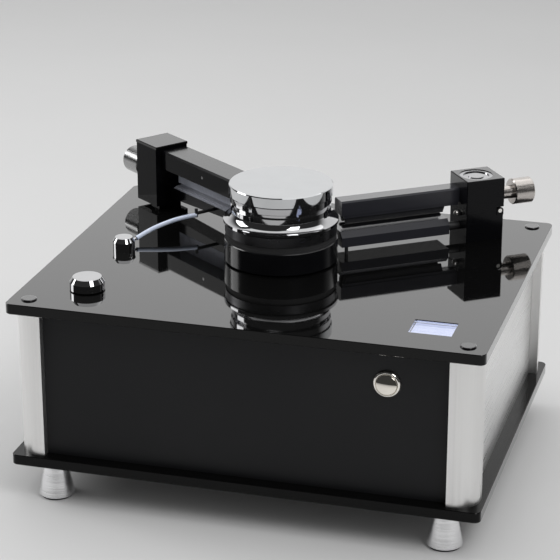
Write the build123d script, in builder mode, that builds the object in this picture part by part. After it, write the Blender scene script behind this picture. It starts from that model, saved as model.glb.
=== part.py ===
from build123d import *
from math import cos, pi, radians, sin
import os

# Record cleaning machine: a low box on four cone feet, with a driven hub and clamp in the
# middle of its lid, a wash arm at the rear left and a suction arm at the rear right.
# Millimetres, +Z up, the origin on the floor under the middle of the plates.

# Case
plate_width = 400
plate_depth = 320
plate_thick = 9
plate_corner = 5.5
foot_height = 33
body_height = 127
profile_side = 24.5
profile_corner = 18.5
profile_reach = (195.7, 155.3)
panel_thick = 4
panel_face = (188, 148)
slot_depth = 4
slot_gap = 0.1

base_bottom = foot_height
base_top = base_bottom + plate_thick
lid_bottom = base_top + body_height
lid_top = lid_bottom + plate_thick

# Fasteners and feet
screw_spot = (183.5, 145)
screw_radius = 2.4
screw_head = 4.2
head_thick = 3
screw_length = 16
blind_depth = 7
foot_spot = (168, 139)
pad_height = 2
foot_radius_low = 15.2
foot_radius_high = 8.8
foot_stud = 3

# Hub, clamp and drive; heights over the lid are called up
hub_x = -11.6
hub_y = 6.6
hub_radius = 49
hub_up = (1, 20.3)
mat_up = 22.3
pin_radius = 3.6
pin_up = 41
spindle_radius = 6
shoulder_up = 14
spindle_foot = base_top + 46
housing_radius = 16
housing_foot = base_top + 66
housing_neck = 13
flange_radius = 28
flange_thick = 10
flange_screws = 31
bearing_radius = 11
bearing_height = 8
pulley_up = (base_top + 48, base_top + 62)
drive_groove = 36.5
motor_groove = 9
motor_spot = (-85, -58)
motor_x, motor_y = motor_spot
motor_radius = 24
motor_foot = base_top + 2
motor_shaft = 3
motor_boss = 8
bracket_up = (base_top + 40, base_top + 43)
bracket_half = 34
bracket_legs = 58
rim_thick = 2.5
belt_thick = 1.2
belt_width = 8
belt_gap = 0.3

# Arms: along is measured out from the hub's axis, across to the left of that, up from the lid
suction_angle = 36.4
wash_angle = 142.6
bar_inner = 53.8

# Controls
mode_spot = (-145.6, -110)
mode_radius = 14.8
mode_top_radius = 12.1
mode_up = (1, 7.4)
mode_bevel_up = (7.4, 11.4)
mode_shaft = 3
encoder_neck = 4.5
valve_spot = (-149.4, -10)
valve_x, valve_y = valve_spot
valve_neck = 4.8
valve_stem = 2
window_spot = (149, -114.5)
window_size = (35, 28)
button_x = 119.9
button_z = lid_top - 37.8
running = 0.05

# Clear feed hose, from the valve's nipple to the wash arm's feed pipe
hose_radius = 2
hose_route = [
    (-143.2, 5.0, lid_top + 5.3),
    (-136.0, 18.0, lid_top + 9.0),
    (-126.0, 29.8, lid_top + 12.2),
    (-115.3, 41.3, lid_top + 14.5),
    (-102.9, 51.6, lid_top + 15.3),
]

os.makedirs("parts", exist_ok=True)


def save(piece, name):
    """Label a finished piece and write it as parts/name.step."""
    piece.part.label = name
    export_step(piece.part, f"parts/{name}.step")


def four_corners(spot):
    """The four mirrored places of a corner feature."""
    return [(sx * spot[0], sy * spot[1]) for sx in (-1, 1) for sy in (-1, 1)]


def middle(span):
    return (span[0] + span[1]) / 2


def slab(plane, along, across, up, mode=Mode.ADD):
    """A block between two limits on each axis of a plane's frame."""
    with BuildSketch(plane.offset(up[0]), mode=Mode.PRIVATE) as outline:
        with Locations((middle(along), middle(across))):
            Rectangle(along[1] - along[0], across[1] - across[0])
    extrude(outline.sketch, amount=up[1] - up[0], mode=mode)


def disc(plane, centre, radius, up, mode=Mode.ADD):
    """An upright cylinder between two heights of a plane's frame."""
    with BuildSketch(plane.offset(up[0]), mode=Mode.PRIVATE) as outline:
        with Locations(centre):
            Circle(radius)
    extrude(outline.sketch, amount=up[1] - up[0], mode=mode)


def heading(angle):
    """Unit vectors out along an arm and across it."""
    turn = radians(angle)
    return Vector(cos(turn), sin(turn), 0), Vector(-sin(turn), cos(turn), 0)


def arm_plane(angle):
    """The lid's plane, seen from the hub's axis along one arm."""
    along, _ = heading(angle)
    return Plane(origin=(hub_x, hub_y, lid_top), x_dir=along, z_dir=(0, 0, 1))


def arm_side(angle, across):
    """An upright plane along an arm, whose x runs outward and whose y runs up."""
    along, side = heading(angle)
    return Plane(origin=Vector(hub_x, hub_y, lid_top) + side * across, x_dir=along, z_dir=-side)


def arm_end(angle, along_at):
    """An upright plane across an arm, facing outward, whose x runs across and whose y runs up."""
    along, side = heading(angle)
    return Plane(origin=Vector(hub_x, hub_y, lid_top) + along * along_at, x_dir=side, z_dir=along)


def cone(plane, centre, radii, up):
    """An upright frustum between two heights of a plane's frame."""
    rings = []
    for radius, level in zip(radii, up):
        with BuildSketch(plane.offset(level), mode=Mode.PRIVATE) as ring:
            with Locations(centre):
                Circle(radius)
        rings.append(ring.sketch.face())
    loft(rings)


def pin_across(angle, centre, radius, across, mode=Mode.ADD):
    """A round pin or bore square to an arm, its centre given in along and up."""
    with BuildSketch(arm_side(angle, across[1]), mode=Mode.PRIVATE) as outline:
        with Locations(centre):
            Circle(radius)
    extrude(outline.sketch, amount=across[1] - across[0], mode=mode)


def pin_along(angle, centre, radius, along, mode=Mode.ADD):
    """A round pin or bore in line with an arm, its centre given in across and up."""
    with BuildSketch(arm_end(angle, along[0]), mode=Mode.PRIVATE) as outline:
        with Locations((centre[0], centre[1])):
            Circle(radius)
    extrude(outline.sketch, amount=along[1] - along[0], mode=mode)


def spot_on_arm(angle, along_at, across):
    """World x and y of a place on an arm."""
    along, side = heading(angle)
    place = Vector(hub_x, hub_y, 0) + along * along_at + side * across
    return (place.X, place.Y)


floor = Plane.XY
lid_face = Plane.XY.offset(lid_top)
hub_axis = (hub_x, hub_y)

# Suction arm, sizes needed by the lid
tower_along = (166, 201.4)
tower_across = (-21.4, 13.8)
tower_up = 26
duct_spot = (middle(tower_along), middle(tower_across))
duct_radius = 6
tower_screws = [(duct_spot[0] + side * 12, duct_spot[1] + side * 12) for side in (-1, 1)]
head_bolt_radius = 3.5

# Wash arm, sizes needed by the lid
post_along = (171.5, 184.5)
post_across = (-12, 12)
post_screws = [(middle(post_along), side * 8) for side in (-1, 1)]

# Base plate
with BuildPart() as base_plate:
    with BuildSketch(floor.offset(base_bottom)):
        RectangleRounded(plate_width, plate_depth, plate_corner)
    extrude(amount=plate_thick)
    chamfer(base_plate.faces().sort_by(Axis.Z)[-1].edges(), 0.5)
    chamfer(base_plate.faces().sort_by(Axis.Z)[0].edges(), 0.5)
    with BuildSketch(floor.offset(base_bottom)):
        with Locations(*four_corners(screw_spot)):
            Circle(screw_radius + slot_gap)
        with Locations(*four_corners(foot_spot)):
            Circle(foot_stud)
    extrude(amount=plate_thick, mode=Mode.SUBTRACT)
    with BuildSketch(floor.offset(base_bottom)):
        with Locations(*four_corners(screw_spot)):
            Circle(screw_head + slot_gap)
    extrude(amount=head_thick, mode=Mode.SUBTRACT)
save(base_plate, "base_plate")

# Lid
with BuildPart() as lid_plate:
    with BuildSketch(floor.offset(lid_bottom)):
        RectangleRounded(plate_width, plate_depth, plate_corner)
    extrude(amount=plate_thick)
    chamfer(lid_plate.faces().sort_by(Axis.Z)[-1].edges(), 0.5)
    chamfer(lid_plate.faces().sort_by(Axis.Z)[0].edges(), 0.5)
    with BuildSketch(floor.offset(lid_bottom)):
        with Locations(*four_corners(screw_spot)):
            Circle(screw_radius + slot_gap)
        with Locations(hub_axis):
            Circle(housing_neck + 0.3)
        with Locations(mode_spot):
            Circle(encoder_neck + slot_gap)
        with Locations(valve_spot):
            Circle(valve_neck + 0.2)
        with Locations(window_spot):
            Rectangle(window_size[0] + 2 * slot_gap, window_size[1] + 2 * slot_gap)
        with Locations(spot_on_arm(suction_angle, *duct_spot)):
            Circle(duct_radius)
        with Locations(*[spot_on_arm(suction_angle, *spot) for spot in tower_screws]):
            Circle(screw_radius + slot_gap)
        with Locations(*[spot_on_arm(wash_angle, *spot) for spot in post_screws]):
            Circle(screw_radius + slot_gap)
    extrude(amount=plate_thick, mode=Mode.SUBTRACT)
    with BuildSketch(floor.offset(lid_bottom)):
        with Locations(hub_axis):
            with GridLocations(flange_screws, flange_screws, 2, 2):
                Circle(screw_radius + slot_gap)
    extrude(amount=blind_depth, mode=Mode.SUBTRACT)
save(lid_plate, "lid_plate")

# Corner profiles, with a screw bore and a slot for each panel
profile_centre = (profile_reach[0] - profile_side / 2, profile_reach[1] - profile_side / 2)
profile_inner = (profile_reach[0] - profile_side, profile_reach[1] - profile_side)
slot_width = panel_thick + 2 * slot_gap

with BuildPart() as corner_profiles:
    with BuildSketch(floor.offset(base_top)) as profile_section:
        with Locations(profile_centre):
            Rectangle(profile_side, profile_side)
        fillet(profile_section.vertices().sort_by(lambda v: v.X + v.Y)[-1], profile_corner)
        with Locations(screw_spot):
            Circle(screw_radius + slot_gap, mode=Mode.SUBTRACT)
        with Locations((profile_inner[0] + slot_depth / 2, panel_face[1] - panel_thick / 2)):
            Rectangle(slot_depth, slot_width, mode=Mode.SUBTRACT)
        with Locations((panel_face[0] - panel_thick / 2, profile_inner[1] + slot_depth / 2)):
            Rectangle(slot_width, slot_depth, mode=Mode.SUBTRACT)
    extrude(amount=body_height)
    mirror(about=Plane.YZ)
    mirror(about=Plane.XZ)
save(corner_profiles, "corner_profiles")

# Panels, held in the profiles' slots
panel_up = (base_top, lid_bottom)
long_half = profile_inner[0] + slot_depth - 0.5
short_half = profile_inner[1] + slot_depth - 0.5
inlet_x = -120
inlet_z = base_top + 34
inlet_body = (28, 22)
drain_spot = (110, base_top + 18)
drain_outer = 5
drain_inner = 3
vent_spot = (40, base_top + 72)
vent_count = 9
vent_pitch = 8
vent_slot = (40, 3)
barrel_radius = 9.4

with BuildPart() as front_panel:
    slab(floor, (-long_half, long_half), (-panel_face[1], panel_thick - panel_face[1]), panel_up)
    with BuildSketch(Plane.XZ.offset(panel_face[1])):
        with Locations((button_x, button_z)):
            Circle(barrel_radius + slot_gap)
    extrude(amount=-panel_thick, mode=Mode.SUBTRACT)
save(front_panel, "front_panel")

with BuildPart() as rear_panel:
    slab(floor, (-long_half, long_half), (panel_face[1] - panel_thick, panel_face[1]), panel_up)
    with BuildSketch(Plane.XZ.offset(-panel_face[1])):
        with Locations((inlet_x, inlet_z)):
            Rectangle(inlet_body[0] + 2 * slot_gap, inlet_body[1] + 2 * slot_gap)
        with Locations(drain_spot):
            Circle(drain_outer + 1)
        with Locations(vent_spot):
            with GridLocations(vent_pitch, 1, vent_count, 1):
                SlotOverall(*vent_slot, rotation=90)
    extrude(amount=panel_thick, mode=Mode.SUBTRACT)
save(rear_panel, "rear_panel")

with BuildPart() as side_panels:
    slab(floor, (panel_face[0] - panel_thick, panel_face[0]), (-short_half, short_half), panel_up)
    mirror(about=Plane.YZ)
save(side_panels, "side_panels")


# Feet: turned cones with a stud into the base plate, on rubber pads
with BuildPart() as cone_feet:
    with BuildSketch(Plane(origin=(foot_spot[0], foot_spot[1], 0), x_dir=(1, 0, 0), z_dir=(0, -1, 0))):
        with BuildLine():
            Polyline(
                (0, pad_height),
                (foot_radius_low - 0.4, pad_height),
                (foot_radius_low, pad_height + 0.6),
                (foot_radius_high, base_bottom),
                (foot_stud, base_bottom),
                (foot_stud, base_top - 1),
                (0, base_top - 1),
                close=True,
            )
        make_face()
    revolve(axis=Axis((foot_spot[0], foot_spot[1], 0), (0, 0, 1)))
    mirror(about=Plane.YZ)
    mirror(about=Plane.XZ)
save(cone_feet, "cone_feet")

with BuildPart() as foot_pads:
    with BuildSketch(floor):
        with Locations(*four_corners(foot_spot)):
            Circle(foot_radius_low - 2)
    extrude(amount=pad_height)
save(foot_pads, "foot_pads")

# Corner screws: domed caps over the lid, countersunk heads under the base
cap_radius = 6.6
cap_height = 1.3

with BuildPart() as lid_screws:
    with BuildSketch(floor.offset(lid_bottom - screw_length)):
        with Locations(*four_corners(screw_spot)):
            Circle(screw_radius)
    extrude(amount=screw_length + plate_thick)
    with BuildSketch(lid_face):
        with Locations(*four_corners(screw_spot)):
            Circle(cap_radius)
    extrude(amount=cap_height)
    fillet(lid_screws.faces().group_by(Axis.Z)[-1].edges(), 1)
save(lid_screws, "lid_screws")

# Machine screws of one size, heads down: base plate, bearing housing, tower and post
flange_corner = (flange_screws / 2, flange_screws / 2)
housing_screw_spots = [(hub_x + x, hub_y + y) for x, y in four_corners(flange_corner)]
under_lid_spots = [spot_on_arm(suction_angle, *spot) for spot in tower_screws]
under_lid_spots += [spot_on_arm(wash_angle, *spot) for spot in post_screws]


def screws_from(spots, head_low):
    """Heads from a height upward, each with its shank above."""
    for spot in spots:
        disc(floor, spot, screw_head, (head_low, head_low + head_thick))
        disc(floor, spot, screw_radius, (head_low + head_thick, head_low + head_thick + screw_length))


with BuildPart() as case_screws:
    screws_from(four_corners(screw_spot), base_bottom)
    screws_from(under_lid_spots, lid_bottom - head_thick)
    screws_from(housing_screw_spots, lid_bottom - flange_thick - head_thick)
save(case_screws, "case_screws")

# Hub: driven disc, rubber mat and spindle
with BuildPart() as platter_hub:
    disc(lid_face, hub_axis, hub_radius, hub_up)
    chamfer(platter_hub.faces().sort_by(Axis.Z)[-1].edges(), 0.6)
    chamfer(platter_hub.faces().sort_by(Axis.Z)[0].edges(), 0.6)
    disc(lid_face, hub_axis, spindle_radius, (hub_up[0], shoulder_up), mode=Mode.SUBTRACT)
    disc(lid_face, hub_axis, pin_radius, (shoulder_up, hub_up[1]), mode=Mode.SUBTRACT)
save(platter_hub, "platter_hub")

with BuildPart() as hub_mat:
    disc(lid_face, hub_axis, hub_radius - 1, (hub_up[1], mat_up))
    disc(lid_face, hub_axis, pin_radius, (hub_up[1], mat_up), mode=Mode.SUBTRACT)
save(hub_mat, "hub_mat")

with BuildPart() as spindle:
    disc(floor, hub_axis, spindle_radius, (spindle_foot, lid_top + shoulder_up))
    disc(lid_face, hub_axis, pin_radius, (shoulder_up, pin_up))
    chamfer(spindle.faces().sort_by(Axis.Z)[-1].edges(), 1.2)
save(spindle, "spindle")

with BuildPart() as bearing_housing:
    disc(floor, hub_axis, housing_radius, (housing_foot, lid_bottom))
    disc(floor, hub_axis, flange_radius, (lid_bottom - flange_thick, lid_bottom))
    disc(floor, hub_axis, housing_neck, (lid_bottom, lid_top))
    disc(floor, hub_axis, bearing_radius - 2, (housing_foot, lid_top), mode=Mode.SUBTRACT)
    disc(floor, hub_axis, bearing_radius, (housing_foot, housing_foot + bearing_height), mode=Mode.SUBTRACT)
    disc(floor, hub_axis, bearing_radius, (lid_top - bearing_height - 2, lid_top), mode=Mode.SUBTRACT)
    with BuildSketch(floor.offset(lid_bottom - flange_thick)):
        with Locations(hub_axis):
            with GridLocations(flange_screws, flange_screws, 2, 2):
                Circle(screw_radius + slot_gap)
    extrude(amount=flange_thick, mode=Mode.SUBTRACT)
save(bearing_housing, "bearing_housing")

with BuildPart() as spindle_bearings:
    disc(floor, hub_axis, bearing_radius, (housing_foot, housing_foot + bearing_height))
    disc(floor, hub_axis, bearing_radius, (lid_top - bearing_height - 2, lid_top - 2))
    disc(floor, hub_axis, spindle_radius + running, (housing_foot, lid_top), mode=Mode.SUBTRACT)
save(spindle_bearings, "spindle_bearings")


def grooved_pulley(centre, groove, rim, name, bore, shaft_foot):
    """A flat-belt pulley with a rim above and below; a shaft foot makes it solid, with a shaft below."""
    low, high = pulley_up
    with BuildPart() as pulley:
        disc(floor, centre, rim, (low, low + rim_thick))
        disc(floor, centre, groove, (low + rim_thick, high - rim_thick))
        disc(floor, centre, rim, (high - rim_thick, high))
        if bore:
            disc(floor, centre, bore, (low, high), mode=Mode.SUBTRACT)
        if shaft_foot:
            disc(floor, centre, motor_shaft, (shaft_foot, low))
    save(pulley, name)


grooved_pulley(hub_axis, drive_groove, drive_groove + 2, "drive_pulley", spindle_radius, 0)
grooved_pulley(motor_spot, motor_groove, motor_groove + 2, "motor_pulley", 0, motor_foot + 22)

belt_low = middle(pulley_up) - belt_width / 2
with BuildPart() as drive_belt:
    with BuildSketch(floor.offset(belt_low)):
        with Locations(hub_axis):
            Circle(drive_groove + belt_gap + belt_thick)
        with Locations(motor_spot):
            Circle(motor_groove + belt_gap + belt_thick)
        make_hull()
    extrude(amount=belt_width)
    with BuildSketch(floor.offset(belt_low)):
        with Locations(hub_axis):
            Circle(drive_groove + belt_gap)
        with Locations(motor_spot):
            Circle(motor_groove + belt_gap)
        make_hull()
    extrude(amount=belt_width, mode=Mode.SUBTRACT)
save(drive_belt, "drive_belt")

# Motor hung under its four-legged bracket
bracket_along = (motor_x - bracket_half, motor_x + bracket_half)
bracket_across = (motor_y - bracket_half, motor_y + bracket_half)
with BuildPart() as motor_bracket:
    slab(floor, bracket_along, bracket_across, bracket_up)
    with BuildSketch(floor.offset(base_top)):
        with Locations(motor_spot):
            with GridLocations(bracket_legs, bracket_legs, 2, 2):
                Circle(4)
    extrude(amount=bracket_up[0] - base_top)
    disc(floor, motor_spot, motor_boss, bracket_up, mode=Mode.SUBTRACT)

with BuildPart() as motor:
    add(motor_bracket.part)
    disc(floor, motor_spot, motor_radius, (motor_foot, bracket_up[0]))
    disc(floor, motor_spot, motor_boss, (bracket_up[0], bracket_up[1] + 1))
    disc(floor, motor_spot, motor_shaft + running, (motor_foot + 20, bracket_up[1] + 1), mode=Mode.SUBTRACT)
save(motor, "motor")

# Clamp: a heavy turned weight that lifts off the spindle
clamp_low = 34.6
clamp_split = 59.2
clamp_top = 68.6
pad_top = 26.2
ring_radius = 48.2


def turned(name, outline):
    """A body of revolution about the hub's axis; outline is drawn in radius and up."""
    with BuildPart() as body:
        with BuildSketch(Plane(origin=(hub_x, hub_y, lid_top), x_dir=(1, 0, 0), z_dir=(0, -1, 0))):
            with BuildLine():
                outline()
            make_face()
        revolve(axis=Axis((hub_x, hub_y, 0), (0, 0, 1)))
    save(body, name)


clamp_bore = pin_radius + running


def clamp_body_outline():
    Polyline((0, pin_up + 3), (clamp_bore, pin_up + 3), (clamp_bore, clamp_low), (49, clamp_low))
    Polyline((49, clamp_low), (49.6, 35.2), (49.6, 37.6))
    ThreePointArc((49.6, 37.6), (44.6, 40.2), (42.2, 44.3))
    Polyline((42.2, 44.3), (43, 44.8), (43, 49), (40.4, 49), (40.4, 52.9), (43.2, 52.9), (43.6, 53.3))
    Polyline((43.6, 53.3), (43.6, 58.4), (42, 58.4), (42, clamp_split), (0, clamp_split), (0, pin_up + 3))


def clamp_cap_outline():
    Polyline((0, clamp_split), (44.1, clamp_split), (44.6, 59.7), (44.6, 67.9), (43.9, clamp_top))
    Polyline((43.9, clamp_top), (0, clamp_top), (0, clamp_split))


def clamp_ring_outline():
    Polyline((clamp_bore, pad_top), (ring_radius, pad_top), (ring_radius, clamp_low - 0.5))
    Polyline((ring_radius, clamp_low - 0.5), (ring_radius - 0.5, clamp_low), (clamp_bore, clamp_low))
    Line((clamp_bore, clamp_low), (clamp_bore, pad_top))


def clamp_pad_outline():
    pad_radius = ring_radius - 1
    Polyline((clamp_bore, mat_up), (pad_radius, mat_up), (pad_radius, pad_top))
    Polyline((pad_radius, pad_top), (clamp_bore, pad_top), (clamp_bore, mat_up))


turned("clamp_body", clamp_body_outline)
turned("clamp_cap", clamp_cap_outline)
turned("clamp_ring", clamp_ring_outline)
turned("clamp_pad", clamp_pad_outline)

# Suction arm: tower, tilting head, upper and lower suction bars
suction = arm_plane(suction_angle)
long_edge = 50
hinge_at = (198.2, tower_up)
knuckle = 3.2
knuckle_room = 3.8
hinge_radius = 1.8
head_along = (165.4, 201.6)
head_across = (-21.8, 14.2)
head_up = (tower_up, 56)
knuckle_across = (-15.2, 7.6)
tower_notch = (hinge_at[0] - knuckle_room, tower_along[1] + 1)
head_notch = (hinge_at[0] - knuckle_room, head_along[1])
nipple_up = 11
bolt_length = 12
collar_radius = 5.9
lens_radius = 14.6

with BuildPart() as suction_tower:
    slab(suction, tower_along, tower_across, (0, tower_up))
    chamfer(suction_tower.edges().filter_by(Axis.Z), 0.6)
    slab(suction, tower_notch, tower_across, (tower_up - knuckle_room, tower_up), mode=Mode.SUBTRACT)
    for lug in ((tower_across[0], knuckle_across[0] - 0.3), (knuckle_across[1] + 0.3, tower_across[1])):
        pin_across(suction_angle, hinge_at, knuckle, lug)
        slab(suction, (hinge_at[0] - knuckle, tower_along[1]), lug, (tower_up - knuckle_room, tower_up))
    pin_across(suction_angle, hinge_at, hinge_radius, tower_across, mode=Mode.SUBTRACT)
    disc(suction, duct_spot, duct_radius, (0, nipple_up + 3), mode=Mode.SUBTRACT)
    pin_along(suction_angle, (duct_spot[1], nipple_up), 4, (tower_along[0], duct_spot[0]), mode=Mode.SUBTRACT)
    for spot in tower_screws:
        disc(suction, spot, screw_radius + slot_gap, (0, blind_depth + 2), mode=Mode.SUBTRACT)
save(suction_tower, "suction_tower")

cap_spot = (182, middle(head_across))
suction_screw_spot = (-4.8, 36.5)

with BuildPart() as suction_head:
    slab(suction, head_along, head_across, head_up)
    chamfer(suction_head.edges().filter_by(Axis.Z), 0.6)
    chamfer(suction_head.faces().sort_by(Axis.Z)[-1].edges(), 0.6)
    for room in ((head_across[0], knuckle_across[0]), (knuckle_across[1], head_across[1])):
        slab(suction, head_notch, room, (tower_up, tower_up + knuckle_room), mode=Mode.SUBTRACT)
    pin_across(suction_angle, hinge_at, knuckle, knuckle_across)
    pin_across(suction_angle, hinge_at, hinge_radius + running, knuckle_across, mode=Mode.SUBTRACT)
    disc(suction, cap_spot, lens_radius + slot_gap, (head_up[1] - 3, head_up[1]), mode=Mode.SUBTRACT)
    bolt_hole = (head_along[1] - bolt_length, head_along[1])
    pin_along(suction_angle, suction_screw_spot, head_bolt_radius + running, bolt_hole, mode=Mode.SUBTRACT)
save(suction_head, "suction_head")

with BuildPart() as suction_cap:
    disc(suction, cap_spot, lens_radius, (head_up[1] - 3, head_up[1] - 0.6))
    disc(suction, cap_spot, lens_radius - 3, (head_up[1] - 1.6, head_up[1] - 0.6), mode=Mode.SUBTRACT)
    disc(suction, cap_spot, 7, (head_up[1] - 1.6, head_up[1] - 0.9))
save(suction_cap, "suction_cap")

upper_bar_across = (-6, 10.4)
upper_bar_up = (33, 46)
upper_strips = ((-5, 0.2), (4.2, 9.4))
upper_velvet_up = (24, 33)
velvet_along = (58, 152)
lip_across = (upper_bar_across[0] + 0.6, upper_bar_across[0] + 1.8)

with BuildPart() as suction_upper_bar:
    slab(suction, (bar_inner, head_along[0]), upper_bar_across, upper_bar_up)
    top_edges = suction_upper_bar.faces().sort_by(Axis.Z)[-1].edges()
    chamfer(top_edges.filter_by(lambda e: e.length > long_edge), 1.4)
    air_slot = (upper_strips[0][1], upper_strips[1][0])
    slab(suction, velvet_along, air_slot, (upper_bar_up[0], 40), mode=Mode.SUBTRACT)
    slab(suction, (bar_inner + 2, head_along[0] - 1), lip_across, (upper_bar_up[0] - 2.6, upper_bar_up[0]))
save(suction_upper_bar, "suction_upper_bar")

with BuildPart() as suction_upper_velvet:
    for strip in upper_strips:
        slab(suction, velvet_along, (max(strip[0], lip_across[1] + 0.2), strip[1]), upper_velvet_up)
save(suction_upper_velvet, "suction_upper_velvet")

lower_bar_across = (-13, 12)
lower_bar_up = (6.8, 20.1)
lower_bar_slope = 4.8
lower_bar_along = (51.6, 153.4)
lower_strips = ((2.6, 5), (8.6, 11))
lower_velvet_up = (20.1, 21.9)

with BuildPart() as suction_lower_bar:
    with BuildSketch(arm_end(suction_angle, lower_bar_along[0])):
        with BuildLine():
            Polyline(
                (lower_bar_across[0], lower_bar_up[0]),
                (lower_bar_across[1], lower_bar_up[0]),
                (lower_bar_across[1], lower_bar_up[1]),
                (lower_bar_across[0] + lower_bar_slope, lower_bar_up[1]),
                (lower_bar_across[0], lower_bar_up[1] - lower_bar_slope),
                close=True,
            )
        make_face()
    extrude(amount=lower_bar_along[1] - lower_bar_along[0])
    air_slot = (lower_strips[0][1], lower_strips[1][0])
    slab(suction, velvet_along, air_slot, (10, lower_bar_up[1]), mode=Mode.SUBTRACT)
save(suction_lower_bar, "suction_lower_bar")

with BuildPart() as suction_lower_velvet:
    for strip in lower_strips:
        slab(suction, velvet_along, strip, lower_velvet_up)
save(suction_lower_velvet, "suction_lower_velvet")

# Air nipple from bar to tower, a stop pin on the tower and a post under the bar's inner end
nipple_axis = (duct_spot[1], nipple_up)
nipple_along = (lower_bar_along[1], tower_along[0] + 6)
stop_spot = (-6, 23)
bar_post_spot = (lower_bar_along[0] + 5, -10.6)
with BuildPart() as suction_fittings:
    pin_along(suction_angle, nipple_axis, 3.8, nipple_along)
    pin_along(suction_angle, nipple_axis, 2.2, nipple_along, mode=Mode.SUBTRACT)
    pin_along(suction_angle, stop_spot, 2.4, (tower_along[0] - 4.5, tower_along[0]))
    disc(suction, bar_post_spot, 1.6, (0, lower_bar_up[0]))
save(suction_fittings, "suction_fittings")


def thumb_screw(angle, centre, radius, face_along, shaft, length, name):
    """A clamping screw in line with an arm: bolt in the head, collar and round grip outside it."""
    grip = (face_along + shaft, face_along + shaft + length)
    with BuildPart() as screw:
        pin_along(angle, centre, radius, grip)
        ends = screw.edges().filter_by(GeomType.CIRCLE).filter_by(lambda e: e.radius > radius - 0.1)
        chamfer(ends, 0.8)
        pin_along(angle, centre, collar_radius, (face_along + 0.3, grip[0]))
        pin_along(angle, centre, head_bolt_radius, (face_along - bolt_length + 0.5, face_along + 1))
    save(screw, name)


thumb_screw(suction_angle, suction_screw_spot, 11.5, head_along[1], 14.8, 18.5, "suction_thumb_screw")

duct_centre = spot_on_arm(suction_angle, *duct_spot)
waste_top = base_top + 74

# Wash arm: post, tilting head, upper and lower brush bars
wash = arm_plane(wash_angle)
wash_hinge_at = (191.4, 10.4)
wash_lug = 3.4
wash_pin = 2
wash_along = (166.2, 198.8)
wash_across = (-16.5, 17.8)
wash_head_up = (4.4, 58.6)
wash_wall = 2.4
room_along = (wash_along[0] + wash_wall, wash_along[1] - wash_wall)
room_across = (-12.6, 12.6)
room_up = 24
tongue_across = (-12, -4.5)
tongue_up = (10.5, 16)
join_along = wash_along[0] - 1
wash_screw_spot = (-0.6, 31)
wash_pin_across = (-14.6, 15.5)

with BuildPart() as wash_post:
    slab(wash, post_along, post_across, (0, room_up - 5))
    lug_up = (wash_hinge_at[1] - wash_lug, wash_hinge_at[1] + wash_lug)
    slab(wash, (post_along[1] - 1, wash_hinge_at[0]), post_across, lug_up)
    pin_across(wash_angle, wash_hinge_at, wash_lug, post_across)
    pin_across(wash_angle, wash_hinge_at, wash_pin, post_across, mode=Mode.SUBTRACT)
    slab(wash, (join_along, post_along[0] + 1), tongue_across, tongue_up)
    for spot in post_screws:
        disc(wash, spot, screw_radius + slot_gap, (0, blind_depth + 2), mode=Mode.SUBTRACT)
save(wash_post, "wash_post")

with BuildPart() as wash_head:
    slab(wash, wash_along, wash_across, wash_head_up)
    chamfer(wash_head.edges().filter_by(Axis.Z), 0.6)
    slab(wash, room_along, room_across, (wash_head_up[0], room_up), mode=Mode.SUBTRACT)
    tongue_gap = (tongue_across[0] - 0.4, tongue_across[1] + 0.4)
    gap_up = (wash_head_up[0], tongue_up[1] + 1)
    slab(wash, (wash_along[0], room_along[0]), tongue_gap, gap_up, mode=Mode.SUBTRACT)
    pin_room = (wash_pin_across[0] - 0.2, wash_pin_across[1] + 0.2)
    pin_across(wash_angle, wash_hinge_at, wash_pin + running, pin_room, mode=Mode.SUBTRACT)
    bolt_hole = (wash_along[1] - bolt_length, wash_along[1])
    pin_along(wash_angle, wash_screw_spot, head_bolt_radius + running, bolt_hole, mode=Mode.SUBTRACT)
save(wash_head, "wash_head")

with BuildPart() as wash_cap:
    cap_along = (wash_along[0] - 0.2, wash_along[1] + 0.2)
    cap_across = (wash_across[0] - 0.2, wash_across[1] + 0.2)
    slab(wash, cap_along, cap_across, (wash_head_up[1], wash_head_up[1] + 2.4))
    chamfer(wash_cap.faces().sort_by(Axis.Z)[-1].edges(), 0.5)
save(wash_cap, "wash_cap")

with BuildPart() as hinge_pins:
    pin_across(suction_angle, hinge_at, hinge_radius, tower_across)
    pin_across(wash_angle, wash_hinge_at, wash_pin, wash_pin_across)
save(hinge_pins, "hinge_pins")

wash_bar_inner = 55
wash_upper_across = (-15.3, 12.4)
wash_upper_up = (40.5, 57)
wash_lower_across = (-15.3, 1.8)
wash_lower_top = 20
wash_lower_root = 9.5
wash_lower_tip = 15
brush_along = (58, join_along - 1)
brush_across = (-14.5, -4.3)
brush_foot = 17
brush_meet = (21.9, 24)
set_screw_at = (101.4, 48)

with BuildPart() as wash_upper_bar:
    slab(wash, (wash_bar_inner, wash_along[0]), wash_upper_across, wash_upper_up)
    top_edges = wash_upper_bar.faces().sort_by(Axis.Z)[-1].edges()
    chamfer(top_edges.filter_by(lambda e: e.length > long_edge), 1.6)
    set_screw_room = (wash_upper_across[1] - 4, wash_upper_across[1])
    pin_across(wash_angle, set_screw_at, 1.5, set_screw_room, mode=Mode.SUBTRACT)
save(wash_upper_bar, "wash_upper_bar")

with BuildPart() as wash_upper_brush:
    slab(wash, brush_along, brush_across, (brush_meet[1], wash_upper_up[0]))
save(wash_upper_brush, "wash_upper_brush")

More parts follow.
